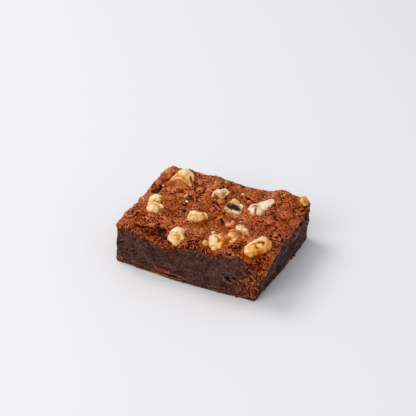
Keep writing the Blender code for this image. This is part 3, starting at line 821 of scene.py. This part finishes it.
def makeCrumb():
    columns, rows, rings = block["across"], block["deep"], crumb["rings"]
    count = len(rimFlat)
    heights = np.linspace(block["level"], 0, rings)
    flat = np.concatenate([np.concatenate([rimFlat[:, :2], np.full((count, 1), h)], 1) for h in heights])
    quads = np.concatenate([bandFaces(k * count + np.arange(count), (k + 1) * count + np.arange(count))
                            for k in range(rings - 1)])
    points = skin(flat)
    normals = normalsOf(points, quads)
    side, along = np.tile(rimSide, rings), np.tile(rimAlong, rings)
    below = (block["level"] - np.tile(hangDepth, rings)) - flat[:, 2]     # depth below the crust's rim
    relief, marks = crumbRelief(points, quads, side, along, flat[:, 2], below)
    tuck = crumb["tuck"]
    tucked = tuck * smooth(0.5 - below / 0.5) + (crumb["inset"] - tuck) * smooth(-below / 1.8)
    relief = relief * smooth((below + 0.6) / 0.8) - tucked
    relief -= smooth(besideWalnuts(points)[1] / 0.9)
    relief *= smooth((flat[:, 2] + 0.3) / 1.2)                            # the foot stays where the base is
    wall = points + normals * relief[:, None]
    wall[:, 2] = np.maximum(wall[:, 2], 0)
    lidColumns, lidRows = columns // crumb["lidSkips"], rows // crumb["lidSkips"]
    lid = skin(gridPoints(lidColumns, lidRows, block["level"]))
    lidFaces = gridFaces(lidColumns, lidRows, len(wall))
    lid = lid - normalsOf(lid, lidFaces - len(wall)) * crumb["inset"]
    baseColumns, baseRows = columns // crumb["baseSkips"], rows // crumb["baseSkips"]
    base = skin(gridPoints(baseColumns, baseRows, 0))
    base[:, 2] = 0
    start = len(wall) + len(lid)
    baseFaces = gridFaces(baseColumns, baseRows, start)[:, ::-1]
    topSeam = seamFaces(np.arange(count), gridRim(lidColumns, lidRows, len(wall)))[:, ::-1]
    footSeam = seamFaces((rings - 1) * count + np.arange(count), gridRim(baseColumns, baseRows, start))
    extra = len(lid) + len(base)
    values = {n: np.concatenate([v, np.full(extra, 0.5 if n == "toneAndShade" else 0.0)]) for n, v in marks.items()}
    faces = [quads, topSeam, lidFaces, footSeam, baseFaces]
    return makePiece("crumb", np.concatenate([wall, lid, base]), faces, values, crumbMaterial())


crumbPiece = makeCrumb()
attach(crumbPiece, "root")
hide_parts("cake")
print("crumb made:", len(crumbPiece.data.polygons), "faces")


# Walnut pieces. flesh and toasted: the two colours that a piece runs between. toast: how far it has gone; the
# code adds painted shade in its hollows on top.
# skinned: the colour of the papery skin left on it. grit: how broken its faces are. grow: what it gains all
# round. marks: from x, y to x, y as seen from the middle of the piece, reach, toast, skin. ridges, or grooves
# where the rise is negative: the same two ends, half width, rise.
walnuts = {
    "walnut_back_left": {
        "flesh": "#F7D898", "toasted": "#C8640A", "skinned": "#8A5648", "toast": 0.08, "grit": 0.3,
        "marks": (
            (-4.6, -5.6, -2.0, -5.2, 3.4, 0.64, 0.0), (-2.0, -5.2, 3.6, -4.2, 3.2, 0.64, 0.0),
            # the mark from -1.2, -5.8 to 0.2, -6.8 lays the light mauve skin colour on the amber lobe as a
            # painted highlight
            (-4.0, -7.8, 3.0, -7.2, 2.6, 0.3, 0.0), (-1.2, -5.8, 0.2, -6.8, 1.3, 0.1, 0.5),
            (1.4, -3.4, 3.2, -3.0, 1.2, 0.3, 0.4), (-4.6, -3.8, -2.2, -3.4, 0.9, -0.55, 0.0),
            (4.0, 1.6, 4.6, -0.6, 1.5, 0.5, 0.0), (3.8, 3.2, 4.8, 1.8, 0.8, 0.9, 0.9),
            (-3.4, 0.0, 2.0, 0.2, 1.2, 0.45, 0.0),
        ),
        "ridges": (
            (-4.4, -5.4, -1.4, -5.2, 1.8, 0.8), (-1.4, -5.2, 3.0, -4.4, 1.8, 0.9),
            (0.4, -3.4, 1.0, -6.4, 0.7, 0.5), (-5.0, -2.2, -1.2, -2.4, 0.9, -1.3),
            (-1.2, -2.4, 4.0, -0.6, 0.9, -1.3), (3.8, 3.2, 4.8, 1.8, 0.8, -0.7),
        ),
    },
    "walnut_corner": {
        "flesh": "#EAA044", "toasted": "#AE520C", "skinned": "#93482A", "toast": 0.50, "grit": 0.2,
        "marks": (
            (0.0, -1.4, 0.6, 2.6, 1.4, -0.4, 0.0), (-1.6, -3.0, 0.6, -4.6, 2.0, 0.2, 0.7),
            (2.3, -1.0, 2.6, 2.4, 1.1, 0.0, 0.8), (-2.0, -0.6, -1.8, 1.6, 1.0, 0.3, 0.2),
        ),
        "ridges": (
            (-0.4, 4.0, -1.2, -3.0, 0.9, 0.6), (1.3, 3.0, 1.2, -3.4, 0.7, -0.8),
            (2.2, 1.0, 2.0, -2.0, 0.9, 0.5),
        ),
    },
    "walnut_left": {
        "flesh": "#F6DDB0", "toasted": "#D2820E", "toast": 0.06, "grit": 0.35,
        "marks": (
            (2.2, 3.6, 2.0, 5.6, 1.5, 0.75, 0.0), (0.6, 0.6, 2.8, 1.6, 0.9, 0.6, 0.0),
            (4.4, 0.4, 4.8, 1.6, 1.0, 0.5, 0.0), (-1.6, 0.4, -0.2, 0.2, 0.8, 0.35, 0.0),
        ),
        "ridges": (
            (-2.4, 0.4, 1.4, 1.0, 0.7, -0.6), (1.8, 1.0, 2.6, 3.4, 0.7, -0.7),
        ),
    },
    "walnut_mid_left": {
        "flesh": "#F6DDAC", "toasted": "#CC7C0A", "toast": 0.10, "grit": 0.7,
        "marks": (
            (3.2, 0.4, 4.4, -0.4, 1.8, 0.6, 0.1), (-3.4, 2.2, -2.4, 3.0, 1.4, 0.5, 0.0),
            (0.4, 2.6, 1.8, 2.4, 1.2, 0.4, 0.0),
        ),
    },
    "walnut_front_left": {
        "flesh": "#F8DEB2", "toasted": "#D2821A", "toast": 0.06, "grit": 0.9,
        "marks": (
            (1.6, -3.6, 2.0, -2.6, 1.1, 0.6, 0.0), (1.0, -5.0, 2.4, -6.0, 1.8, 0.3, 0.0),
            (3.2, 0.0, 3.6, 2.6, 1.2, 0.35, 0.0),
        ),
    },
    "walnut_fragment": {
        "flesh": "#E6C08A", "toasted": "#C07A30", "toast": 0.3,
        "marks": (),
    },
    "walnut_front_centre": {
        "flesh": "#F9D094", "toasted": "#CC6A04", "skinned": "#8C3A08", "toast": 0.16, "grit": 0.3,
        "marks": (
            (-5.0, -5.6, -2.2, -8.4, 3.0, -0.25, 0.0), (0.9, -6.2, 1.8, -1.6, 1.7, 0.75, 0.15),
            (-1.6, -0.4, -0.8, 4.0, 1.5, 0.8, 0.3), (-3.4, -2.6, -1.6, -6.0, 1.8, -0.3, 0.0),
            (-1.0, 3.4, 0.6, 6.4, 1.6, 0.7, 0.2), (1.2, -2.6, 2.4, -0.6, 1.2, 0.55, 0.1),
            (2.2, -5.8, 3.8, -4.6, 1.8, 0.5, 0.0), (-3.8, -4.2, -1.4, -4.6, 0.7, 0.8, 0.3),
            (-4.4, -8.8, -3.8, -8.2, 0.7, 0.7, 0.2), (-2.4, -10.2, -1.8, -9.4, 1.0, 0.5, 0.1),
            (1.8, 3.4, 4.4, 2.6, 2.2, 0.7, 0.0), (2.0, 4.6, 5.0, 5.8, 1.7, 0.8, 0.3),
            (5.6, 3.6, 6.4, 5.6, 1.4, 0.4, 0.0),
        ),
        "ridges": (
            (-2.6, -0.6, -1.2, 4.0, 0.9, 0.6), (0.9, -6.0, 1.8, -2.0, 0.8, 0.4),
            (-0.4, 2.6, 0.8, -1.4, 0.8, -0.8), (-1.8, -4.4, -0.6, -8.4, 0.7, -0.5),
            (-3.8, -4.2, -1.4, -4.6, 0.6, -0.3), (1.6, 2.6, 5.4, 2.4, 1.6, 0.5),
            (2.0, -2.4, 3.4, -3.4, 0.8, -0.6),
        ),
    },
    "walnut_strip": {
        "flesh": "#F0DEB8", "toasted": "#C5882E", "toast": 0.12, "grit": 1.4,
        "marks": (
            (-4.0, 3.2, -3.0, 2.0, 1.6, 0.3, 0.3), (2.6, -2.8, 3.8, -2.2, 1.3, 0.5, 0.0),
            (0.2, 0.4, 1.2, 1.2, 1.0, 0.6, 0.6),
        ),
    },
    "walnut_front_right": {
        "flesh": "#F7CF94", "toasted": "#E2800A", "skinned": "#93400C", "toast": 0.08, "grit": 0.3,
        "marks": (
            (-4.6, -4.6, -2.2, -2.6, 0.7, 0.6, 0.3), (-2.2, -2.6, 0.2, 0.4, 0.7, 0.6, 0.5),
            (0.2, 0.4, 2.6, 1.0, 0.8, 0.6, 0.9), (2.6, 1.0, 2.8, -0.2, 0.7, 0.6, 0.7),
            (-0.4, -1.4, 0.2, -3.2, 0.7, 0.6, 0.4), (0.2, -3.2, 1.6, -2.8, 0.7, 0.5, 0.1),
            (-1.6, -6.6, 3.2, -4.0, 2.2, 0.22, 0.0), (2.4, -4.2, 3.6, -2.4, 1.4, 0.5, 0.0),
            (3.6, 3.6, 4.2, 5.4, 1.2, 0.6, 0.2), (4.2, 0.4, 4.8, 3.4, 1.6, 0.45, 0.0),
            (-4.4, -3.4, 0.8, 3.4, 1.9, -0.5, 0.0), (-5.4, -5.8, -4.6, -6.6, 1.6, -0.6, 0.0),
        ),
        "ridges": (
            (-4.8, -4.6, -2.2, -2.6, 0.7, -0.5), (-2.2, -2.6, 0.2, 0.4, 0.7, -0.6),
            (0.2, 0.4, 2.6, 1.0, 0.7, -0.6), (2.6, 1.0, 2.8, -0.4, 0.7, -0.5),
            (-4.4, -6.6, 2.2, -4.2, 1.2, 0.4), (-3.6, -1.0, 0.6, 3.2, 1.2, 0.4),
        ),
    },
    "walnut_upper_middle": {
        "flesh": "#EDE2C4", "toasted": "#C88434", "toast": 0.06, "grit": 1.3, "grow": 0.3,
        "marks": (
            (-2.0, -4.0, -0.6, -4.6, 2.0, 0.7, 0.0), (-0.4, 5.2, 0.4, 4.4, 1.4, 0.2, 0.7),
            (1.8, -2.0, 2.4, -0.4, 1.0, 0.4, 0.0),
        ),
    },
    "walnut_dark_skin": {
        "flesh": "#F0D4A4", "toasted": "#CC7E28", "skinned": "#2C0E12", "toast": 0.08, "grit": 1.0,
        "marks": (
            (-3.2, -1.8, -1.6, -2.6, 1.7, 0.0, 1.4), (-1.4, -2.4, 0.8, -2.0, 2.3, 0.0, 1.4),
            (0.8, -2.8, 3.2, -2.4, 1.4, 0.0, 1.4), (1.4, -0.9, 2.8, -1.6, 0.9, 0.0, 1.2),
            (-4.2, 0.2, -3.2, 0.6, 1.1, 0.0, 1.4), (-3.0, -1.2, -2.6, -0.6, 0.8, 0.0, 1.0),
            (-0.8, -0.6, 0.8, -0.8, 0.9, 0.9, 0.0), (-2.0, 0.0, -1.6, -0.2, 0.8, 0.9, 0.0),
            (-1.6, 1.4, 0.4, 1.0, 1.4, 0.35, 0.0),
        ),
    },
    "walnut_right_middle": {
        "flesh": "#F8E8D0", "toasted": "#CC8A34", "skinned": "#8E4430",
        "toast": 0.04, "grit": 0.8, "grow": 0.7,
        "marks": (
            (-1.9, -6.4, -1.1, -8.8, 0.8, 0.2, 1.2), (-3.4, -5.6, -2.4, -4.6, 1.4, 0.8, 0.2),
            (-3.8, -7.6, -3.4, -6.4, 1.0, 0.6, 0.0), (0.2, -7.6, 1.6, -7.0, 1.4, -0.3, 0.0),
            (2.2, -8.8, 2.6, -8.4, 0.6, 0.5, 0.5), (1.6, 2.4, 2.2, 4.0, 1.0, 0.3, 0.0),
        ),
    },
    "walnut_back_right": {
        "flesh": "#F0C87E", "toasted": "#C07818", "toast": 0.3,
        "marks": ((1.8, -1.4, 2.2, -0.6, 1.6, 0.5, 0.0),),
    },
    "walnut_curl": {
        "flesh": "#E0A070", "toasted": "#C05E0A", "skinned": "#3E1004",
        "toast": 0.72, "grit": 0.1, "grow": 0.4,
        "marks": (
            # the mark from -3.0, -0.8 to -0.8, -2.6 lays the dark skin colour along the groove cut on the
            # same line, painted shade in the slit
            (-4.6, -0.4, -3.0, 0.6, 1.6, 0.1, 0.0), (-3.0, -0.8, -0.8, -2.6, 0.9, 0.6, 1.8),
            (-1.8, 0.8, 1.6, 0.2, 1.2, 0.4, 0.3), (2.0, -2.6, 3.8, -1.8, 1.4, -0.8, 0.0),
            (0.4, -2.6, 2.2, -3.0, 1.0, -0.7, 0.0), (2.4, -1.0, 3.2, -0.6, 1.0, 0.3, 0.5),
        ),
        "ridges": (
            (-4.6, 0.2, -2.4, 1.2, 1.0, 0.6), (-2.4, 1.2, 1.6, 0.6, 0.9, 0.5),
            (1.6, 0.6, 3.8, -1.4, 0.9, 0.6), (3.8, -1.4, 1.4, -3.2, 0.8, 0.5),
            (-3.0, -0.8, -0.8, -2.6, 0.7, -1.0), (-0.6, -1.0, 2.2, -1.6, 0.8, -0.5),
        ),
    },
}

walnutShape = {
    "splits": 6,              # halvings of the ball that each piece is shaped from
    "swell": 0.6,             # growth before the broken faces are cut back to the CAD size
    "facets": 20,             # broken faces on each piece
    "facetShare": (0.90, 1.03),
    "foldSpacing": 6.0,
    "foldDepth": 0.22,
    "plateSize": 2.6,         # spacing of the larger and of the smaller broken faces
    "chipSize": 1.15,
    "bigFrom": 9.0,           # pieces longer than this get the full mesh
    "readFrom": 30.0,         # distance from which the CAD piece is read
    "seedStep": 31.0,         # how far apart in the noise two pieces lie
    "usual": {"grit": 0.5, "grow": 0.0, "skinned": "#7A3E1E", "ridges": ()},
    "charAndShade": "#5A2402",        # what the toasted colour runs to where it is burnt, and in the crevices, as painted shade
}


def walnutMaterial(name, look):
    # toasted walnut kernel: waxy cream flesh going golden where it caught the heat, with rags of papery skin,
    # and browner in its hollows, a painted shade
    made, tree, shader = newMaterial(name)
    place = addNode(tree, "NewGeometry").outputs["Position"]
    toast, skinned = nodeMarks(tree, "toast", "skin")
    speck = nodeRange(tree, nodeNoise(tree, place, 0.9, 3.0, 0.55), (0.3, 0.7), (-0.07, 0.07))
    level = nodeMath(tree, "ADD", toast, speck, use_clamp=True)
    heated = nodeRamp(tree, level, (
        (0.0, look["flesh"]), (0.40, look["halfway"]), (0.78, look["toasted"]), (1.0, look["burntAndShaded"])))
    colour = nodeTint(tree, skinned, heated, look["skinned"])
    wax = nodeRange(tree, level, (0.0, 1.0), (0.40, 0.22))
    glint = nodeRange(tree, nodeMath(tree, "MAXIMUM", skinned, level), (0.0, 1.0), (0.40, 0.14))
    dimpled = nodeBump(tree, nodeNoise(tree, place, 0.4, 4.0, 0.6), 0.3, 0.08)
    finishShader(tree, shader, 1.47, colour, wax, glint, dimpled)
    # a little light passes through the flesh
    shader.inputs["Subsurface Weight"].default_value = 0.35
    shader.inputs["Subsurface Radius"].default_value = (1.0, 0.6, 0.3)
    shader.inputs["Subsurface Scale"].default_value = 1.0 * mm
    return made


def ball(splits):
    bm = bmesh.new()
    bmesh.ops.create_icosphere(bm, subdivisions=splits, radius=1)
    points = np.array([v.co for v in bm.verts])
    faces = np.array([[v.index for v in f.verts] for f in bm.faces])
    bm.free()
    return points / np.linalg.norm(points, axis=1, keepdims=True), faces


def averageHex(a, b):
    return "#" + "".join(f"{(int(a[k:k + 2], 16) + int(b[k:k + 2], 16)) // 2:02X}" for k in (1, 3, 5))


def readReach(name, ways, middle):       # how far the CAD piece goes each way, read from outside
    far = walnutShape["readFrom"]
    reach = []
    for way in ways:
        hit = walnutTrees[name].ray_cast(Vector(middle + way * far), Vector(-way))
        reach.append(far - hit[3] if hit[0] else math.nan)
    reach = np.array(reach)
    reach[np.isnan(reach)] = np.nanmean(reach)
    return reach


def breakFaces(reach, ways, grow, seed): # the piece swells, and flat cuts across it bring it back to size
    draw = np.random.default_rng(seed + 40)
    swollen = reach + min(walnutShape["swell"], 0.16 * reach.mean()) + grow
    for cut in range(walnutShape["facets"]):
        facing = draw.normal(size=3)
        facing /= np.linalg.norm(facing)
        toward = ways @ facing
        limit = (reach * toward).max() * draw.uniform(*walnutShape["facetShare"]) + grow
        swollen = np.where(swollen * toward > limit, limit / np.maximum(toward, 0.05), swollen)
    return swollen


def walnutRelief(look, shifted, stirred, fold):
    # two sizes of broken faces, each face at a height of its own
    _, gaps, own = cells(stir(shifted, 2.5, 0.8, 6), walnutShape["plateSize"], 5)
    chips, chipGaps, chipOwn = cells(stir(shifted, 1.0, 0.4, 9), walnutShape["chipSize"], 6)
    relief = 0.24 * waves(stirred, 3.2, 42) - walnutShape["foldDepth"] * fold
    relief += (0.26 * (own - 0.5) * smooth(gaps / 0.25) + 0.08 * waves(stirred, 1.5, 43)
               + 0.03 * waves(shifted, 0.6, 44))
    broken = look["grit"] * smooth(0.6 + 1.5 * waves(shifted, 3.5, 49))
    return relief + broken * (0.30 * (chipOwn - 0.5) * smooth(chipGaps / 0.2) + 0.12 * chips)


def makeWalnut(name, look, seed):
    look = walnutShape["usual"] | look
    big = np.ptp(walnutBoxes[name], axis=0).max() > walnutShape["bigFrom"]
    ways, faces = ball(walnutShape["splits"] - (0 if big else 1))
    quads = np.concatenate([faces, faces[:, :1]], 1)
    middle = (np.array([v.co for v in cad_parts[name].data.vertices]) / mm).mean(0)
    reach = breakFaces(readReach(name, ways, middle), ways, look["grow"], seed)
    reach = blur(reach, quads, 3 if big else 2)
    points = middle + ways * reach[:, None]
    normals = normalsOf(points, quads)
    shifted = points + seed * walnutShape["seedStep"]
    stirred = stir(shifted, 3.0, 0.9, 5)
    fold = smooth(1 - np.abs(waves(stirred, walnutShape["foldSpacing"], 41)) * 4.5)
    relief = walnutRelief(look, shifted, stirred, fold)
    low, high = walnutBoxes[name]
    centre = (low + high) / 2
    upper = smooth((points[:, 2] - centre[2]) / 1.0 + 1.5)
    wander = 1 + 0.45 * waves(shifted, 1.5, 46) + 0.3 * waves(shifted, 0.7, 48)
    for *ends, width, rise in look["ridges"]:
        relief += rise * bump(fromLine(points - centre, *ends) / width * 0.6 * (0.7 + 0.3 * wander)) * upper
    buried = smooth((topHeight(points[:, 0], points[:, 1]) + 1.6 - points[:, 2]) / 2.0)
    toast = look["toast"] + 0.16 * waves(shifted, 3.4, 45) + 0.10 * waves(stirred, 1.4, 47)
    toast += 0.28 * fold + 0.40 * buried
    skinned = np.zeros(len(points))
    for *ends, size, heat, paper in look["marks"]:
        away = fromLine(points - centre, *ends) / size * wander
        toast += heat * bump(away * 0.8)
        skinned = np.maximum(skinned, paper * smooth(1.5 - 1.4 * away) * upper)
    torn = smooth(2.6 * waves(shifted, 1.5, 51) - 0.35)          # flesh and amber show through the skin here
    skinned = np.clip(skinned, 0, 1) * (1 - 0.38 * torn)
    toast += 0.22 * smooth(0.7 - 1.2 * normals[:, 2])            # browner on its sides than on its top
    # painted shade: browner in the hollows and where the piece curves inward
    hollow = relief - blur(relief, quads, 10)
    across = (reach - blur(reach, quads, 60)) / reach.mean()
    toast += np.clip(-hollow * 0.8, -0.10, 0.4) + np.clip(-across * 2.5, -0.15, 0.45)
    marks = {"toast": np.clip(toast, 0, 1), "skin": np.clip(skinned, 0, 1)}
    points = points + normals * relief[:, None]
    colours = look | {"halfway": averageHex(look["flesh"], look["toasted"]),
                      "burntAndShaded": averageHex(look["toasted"], walnutShape["charAndShade"])}
    surface = walnutMaterial("kernel" + name.title().replace("_", ""), colours)
    return makePiece(name + "_kernel", points, [faces], marks, surface)


for seed, (name, look) in enumerate(walnuts.items()):
    piece = makeWalnut(name, look, seed)
    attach(piece, "root")
    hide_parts(name)
print("walnut pieces made:", len(walnuts))


# Small pieces. nut: x, y, half length, half width, turn in degrees, toast. crumbs, which lie along the foot:
# cut, place along it, size.
small = {
    "nut": (
        (-18.6, 5.2, 1.5, 0.6, 70, 0.25), (-16.6, 2.6, 1.2, 0.5, -40, 0.1), (-17.4, 1.2, 0.6, 0.4, 10, 0.5),
        (-6.9, -19.0, 0.7, 0.5, 20, 0.1), (-8.6, -17.6, 1.3, 0.9, 60, 0.75),
        (6.4, -15.9, 1.2, 0.8, 80, 0.05), (6.6, 21.5, 1.0, 0.5, -10, 0.0), (-5.2, 26.6, 0.6, 0.4, 0, 0.1),
        (-9.9, 23.9, 0.5, 0.4, 30, 0.1), (26.9, 27.4, 0.5, 0.4, 0, 0.1), (37.6, 18.4, 0.5, 0.35, 30, 0.1),
        (-33.9, 10.6, 0.5, 0.5, 0, 0.0), (-22.6, 14.6, 0.6, 0.4, 20, 0.2), (14.8, -0.8, 0.7, 0.4, 50, 0.2),
        (0.4, -16.4, 0.6, 0.4, 0, 0.5), (-12.4, 27.0, 0.4, 0.3, 0, 0.2), (17.6, 24.8, 0.5, 0.3, 40, 0.3),
        (2.2, 27.6, 0.4, 0.3, 0, 0.1),
    ),
    "unevenness": 0.35,
    "nutLook": {"flesh": "#F2E4C6", "halfway": "#DDA55E", "toasted": "#B86A1C", "burntAndShaded": "#8A4A14",
                "skinned": "#7A3E1E"},
    "crumbs": (
        ("right", 13.0, 1.0), ("right", 10.2, 0.8), ("right", 0.6, 0.9), ("right", -9.0, 0.5),
        ("right", 21.0, 0.5), ("right", -20.0, 0.6), ("right", 5.4, 0.5), ("front", -28.0, 0.7),
        ("front", -26.4, 0.4), ("front", -8.6, 0.5), ("front", -1.6, 0.6), ("front", 16.8, 0.5),
        ("front", 26.6, 0.6), ("front", -36.0, 0.4), ("front", 6.0, 0.4), ("back", -20.0, 0.6),
        ("back", 4.0, 0.5), ("back", 27.0, 0.7), ("left", -14.0, 0.5), ("left", 12.0, 0.6),
    ),
}


def lump(middle, size, turn, seed):      # a small angular grain: middle, three half sizes, turn in degrees
    ways, faces = ball(3)
    shaped = ways * (1 + small["unevenness"] * waves(ways + seed * 5.3, 0.9, 50)[:, None])
    c, s = math.cos(math.radians(turn)), math.sin(math.radians(turn))
    spun = shaped * np.array(size)
    spun = np.stack([spun[:, 0] * c - spun[:, 1] * s, spun[:, 0] * s + spun[:, 1] * c, spun[:, 2]], 1)
    return spun + np.array(middle), faces


def joinLumps(name, lumps, marks, surface):
    points, faces, values, count = [], [], {n: [] for n in marks[0]}, 0
    for (spots, corners), mark in zip(lumps, marks):
        points.append(spots)
        faces.append(corners + count)
        count += len(spots)
        for n in values:
            values[n].append(np.full(len(spots), mark[n]))
    joined = {n: np.concatenate(v) for n, v in values.items()}
    points = np.concatenate(points)
    points[:, 2] = np.maximum(points[:, 2], 0)
    return makePiece(name, points, faces, joined, surface)


def makeNutBits():
    mesh = crustPiece.data
    tree = BVHTree.FromPolygons([v.co / mm for v in mesh.vertices], [list(p.vertices) for p in mesh.polygons])
    lumps, marks = [], []
    for seed, (x, y, length, width, turn, toast) in enumerate(small["nut"]):
        height = width * 0.8
        middle = (x, y, rayDown(tree, x, y) + 0.15 * height)
        lumps.append(lump(middle, (length, width, height), turn, seed))
        marks.append({"toast": toast, "skin": 0.0})
    return joinLumps("nutBits", lumps, marks, walnutMaterial("kernelBits", small["nutLook"]))


def makeFootCrumbs():
    lumps, marks = [], []
    for seed, (side, along, size) in enumerate(small["crumbs"]):
        out = float(cutPlace(side, np.array([along]), np.array([0.6]))[0])
        outward = 1 if side in ("right", "back") else -1
        place = out - outward * (0.25 + 0.1 * size)
        x, y = (place, along) if side in ("left", "right") else (along, place)
        lumps.append(lump((x, y, 0.55 * size), (size, 0.8 * size, 0.5 * size), 40 * seed, seed + 50))
        marks.append({"toneAndShade": 0.5 + 0.25 * (seed % 3 - 1), "holeShade": 0.0, "smearAndSheen": 0.0, "red": 1.0})
    return joinLumps("footCrumbs", lumps, marks, bpy.data.materials["cutCrumb"])


nutBits = makeNutBits()
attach(nutBits, "root")
footCrumbs = makeFootCrumbs()
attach(footCrumbs, "root")
print("small pieces made:", len(small["nut"]), "of walnut and", len(small["crumbs"]), "crumbs")


stageLook = {
    "floor": "#ECECEE",
    "floorHalf": 3.0,                    # in metres
    "skyColour": "#FAFAFF",
    "aim": (-6.28, 6.40, 5.9),           # from the middle of the brownie's box
    "azimuth": 23.47, "elevation": 34.04, "roll": 1.70,
    "distance": 600.0,
    "lens": 101.43,
    "sky": 0.54,              # light on the floor from all round; floorLight is what each lamp adds
    "lamps": {
        "window": {
            "from": (-800.0, 170.0, 1030.0), "size": 700.0, "floorLight": 0.31, "colour": "#FFFBF4",
        },
        "frontFill": {
            "from": (-350.0, -1200.0, 1070.0), "size": 1200.0, "floorLight": 0.25, "colour": "#FFFFFF",
        },
    },
}


def makeStage():
    mesh = bpy.data.meshes.new("floor")
    half = stageLook["floorHalf"]
    corners = [(-half, -half, 0), (half, -half, 0), (half, half, 0), (-half, half, 0)]
    mesh.from_pydata(corners, [], [(0, 1, 2, 3)])
    floor = bpy.data.objects.new("floor", mesh)
    # matte white paper, which only catches the brownie's shadow
    made, _, shader = newMaterial("mattePaper")
    shader.inputs["Base Color"].default_value = linear(stageLook["floor"])
    shader.inputs["Roughness"].default_value = 0.6
    mesh.materials.append(made)
    bpy.context.scene.collection.objects.link(floor)


def makeCamera():
    middle = (cadLow + cadHigh) / 2
    aim = middle + Vector(stageLook["aim"]) * mm
    azimuth, elevation = math.radians(stageLook["azimuth"]), math.radians(stageLook["elevation"])
    level = math.cos(elevation)
    back = Vector((math.sin(azimuth) * level, -math.cos(azimuth) * level, math.sin(elevation)))
    camera = bpy.data.objects.new("camera", bpy.data.cameras.new("camera"))
    turn = back.to_track_quat("Z", "Y").to_matrix().to_4x4()
    roll = Matrix.Rotation(math.radians(stageLook["roll"]), 4, "Z")
    camera.matrix_world = Matrix.Translation(aim + back * stageLook["distance"] * mm) @ turn @ roll
    camera.data.lens = stageLook["lens"]
    camera.data.clip_start = 0.01
    bpy.context.scene.collection.objects.link(camera)
    bpy.context.scene.camera = camera


def makeLights():
    world = bpy.data.worlds.new("softSky")
    world.use_nodes = True
    sky = world.node_tree.nodes["Background"]
    sky.inputs["Color"].default_value = linear(stageLook["skyColour"])
    sky.inputs["Strength"].default_value = stageLook["sky"]
    bpy.context.scene.world = world
    for name, look in stageLook["lamps"].items():
        spot = Vector(look["from"]) * mm
        lamp = bpy.data.objects.new(name, bpy.data.lights.new(name, "AREA"))
        lamp.data.shape = "DISK"
        lamp.data.size = look["size"] * mm
        # the power that gives the floor below the middle this much light
        lamp.data.energy = look["floorLight"] * math.pi ** 2 * spot.length ** 3 / spot.z
        lamp.data.color = linear(look["colour"])[:3]
        lamp.matrix_world = Matrix.Translation(spot) @ spot.to_track_quat("Z", "Y").to_matrix().to_4x4()
        bpy.context.scene.collection.objects.link(lamp)


makeStage()
makeCamera()
makeLights()
bpy.context.scene.view_settings.view_transform = "Standard"
print("stage, camera and lights set")
